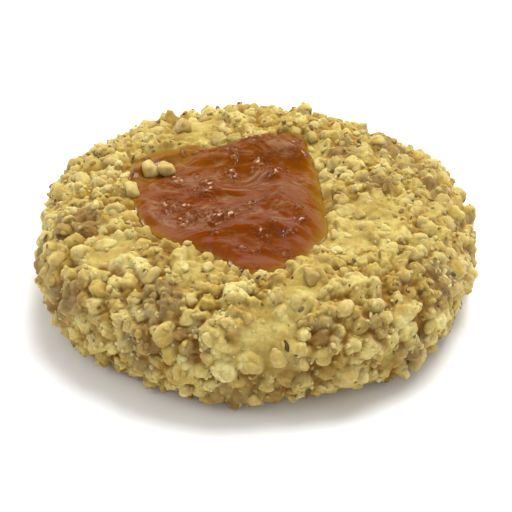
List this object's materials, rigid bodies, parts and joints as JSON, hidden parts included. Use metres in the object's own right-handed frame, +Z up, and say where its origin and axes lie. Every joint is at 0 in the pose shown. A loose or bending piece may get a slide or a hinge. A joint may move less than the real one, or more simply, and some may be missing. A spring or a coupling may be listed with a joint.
{
  "type": "thumbprint cookie",
  "caption": "Round thumbprint cookie: thick shortbread dough coated in chopped nuts, its pressed hollow filled with glossy apricot jam.",
  "frame": {"origin": "middle of the flat underside, under the middle of the cookie's box", "axes": "+Z up through the cookie's thickness, -Y is the front as pictured, +X to the right"},
  "size_m": [0.0538, 0.0538, 0.0145],
  "materials": {
    "nut_crust": null,
    "apricot_jam": null
  },
  "bodies": {
    "root": {"nut_cookie": "nut_crust", "jam_filling": "apricot_jam"}
  },
  "joints": []
}
